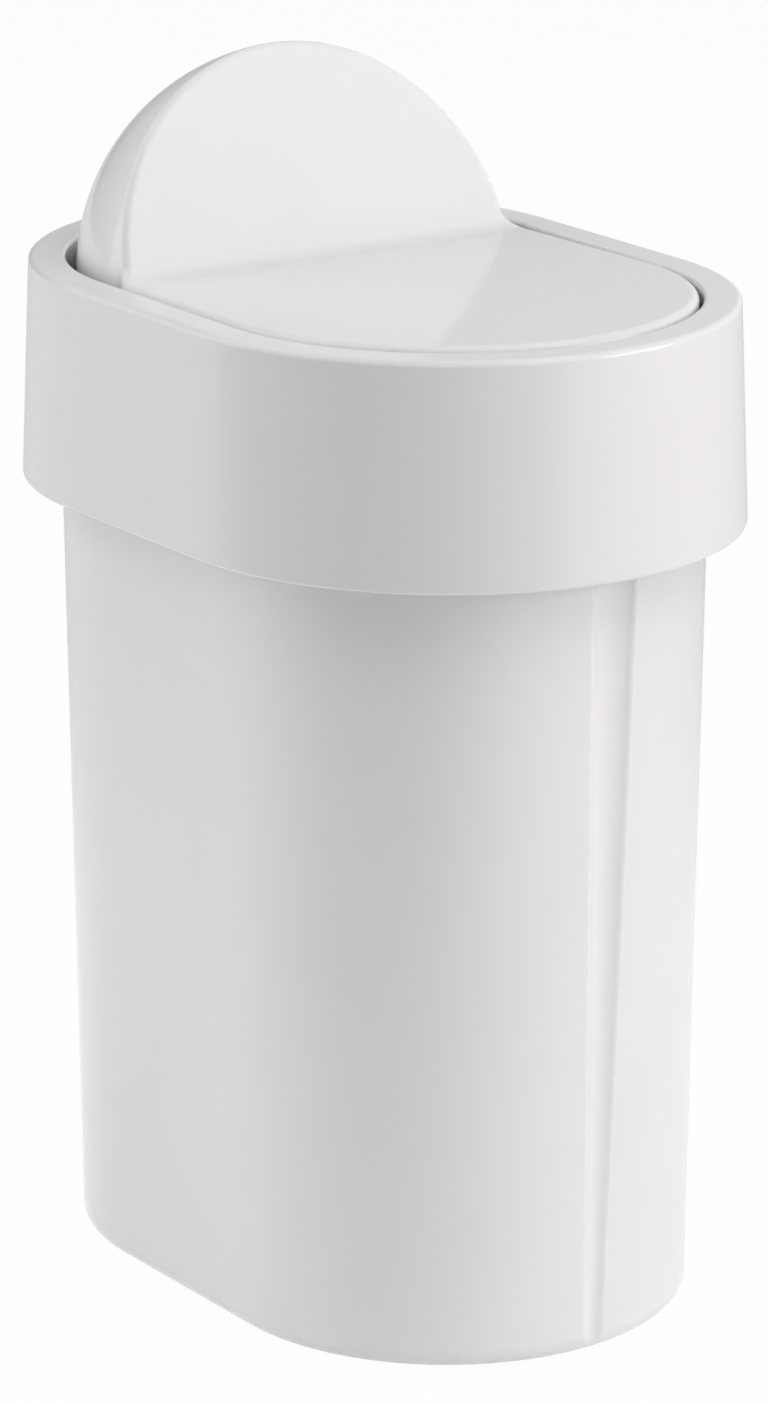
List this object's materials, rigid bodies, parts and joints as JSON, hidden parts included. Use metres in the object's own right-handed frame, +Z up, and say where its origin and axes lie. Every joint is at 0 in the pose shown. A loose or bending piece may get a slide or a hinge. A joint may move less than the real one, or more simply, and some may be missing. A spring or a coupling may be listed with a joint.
{
  "type": "countertop swing-lid bin",
  "caption": "Tall obround bin with a lift-off overhanging collar and a weighted swing lid: a flat front flap with an upright half-moon dome behind it.",
  "frame": {"origin": "on the ground, under the middle of the bin", "axes": "+Z up; X along the bin's length, with the flap towards +X and the half-moon dome towards -X; Y across it, along the lid's pivot line"},
  "size_m": [0.2506, 0.1794, 0.3741],
  "materials": {
    "white_plastic": "gloss",
    "natural_nylon": "satin",
    "zinc_steel": "satin",
    "grey_rubber": "matte"
  },
  "bodies": {
    "bin": {"bin_body": "white_plastic", "base_feet": "grey_rubber"},
    "collar": {"lid_collar": "white_plastic", "pivot_bush_left": "natural_nylon", "pivot_bush_right": "natural_nylon", "stop_buffers": "grey_rubber"},
    "lid": {"swing_lid": "white_plastic", "pivot_pin_left": "natural_nylon", "pivot_pin_right": "natural_nylon", "counterweight": "zinc_steel", "weight_screws": "zinc_steel"}
  },
  "joints": [
    {"name": "collar_lift", "type": "slide", "parent": "bin", "child": "collar", "axis": [0, 0, 1], "range_m": [0, 0.07]},
    {"name": "lid_swing", "type": "hinge", "parent": "collar", "child": "lid", "pos_m": [-0.0396, 0, 0.3058], "axis": [0, 1, 0], "range_deg": [0, 70]}
  ]
}
